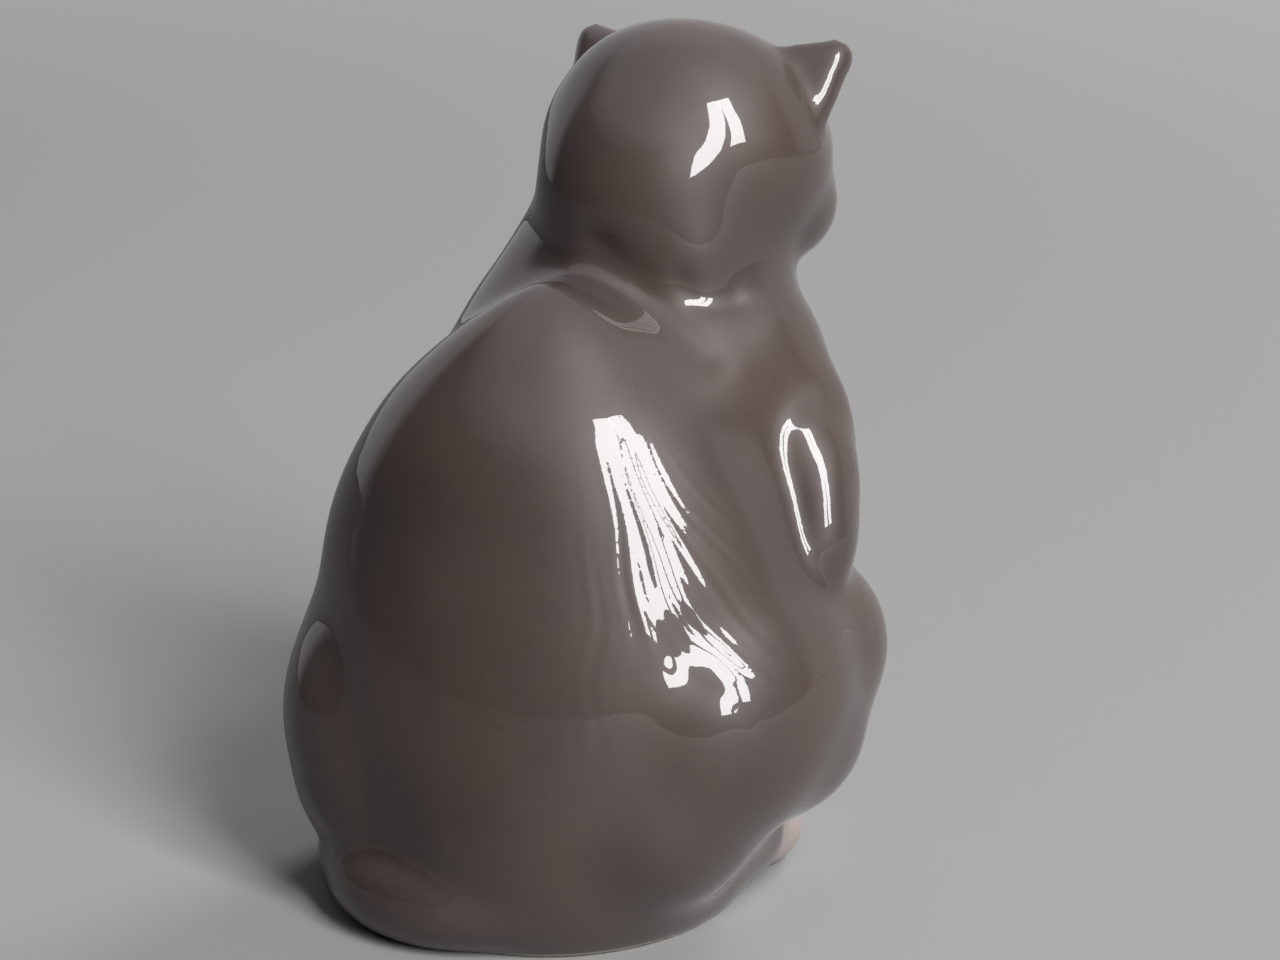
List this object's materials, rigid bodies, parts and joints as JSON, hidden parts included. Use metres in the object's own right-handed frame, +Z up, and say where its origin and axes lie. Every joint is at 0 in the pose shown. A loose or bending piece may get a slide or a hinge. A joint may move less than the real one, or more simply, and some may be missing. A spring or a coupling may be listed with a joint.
{
  "type": "seated cat figurine",
  "caption": "Seated porcelain cat with its head bowed and its tail laid round one side, slip cast hollow, standing on a flat foot.",
  "frame": {"origin": "on the table, under the middle of the figure's box", "axes": "+Z up, the cat faces -Y, +X is the cat's left side"},
  "size_m": [0.12, 0.1264, 0.1779],
  "materials": {
    "glaze": "glossy grey-brown glaze over white porcelain"
  },
  "bodies": {
    "root": {"cat": "glaze"}
  },
  "joints": []
}
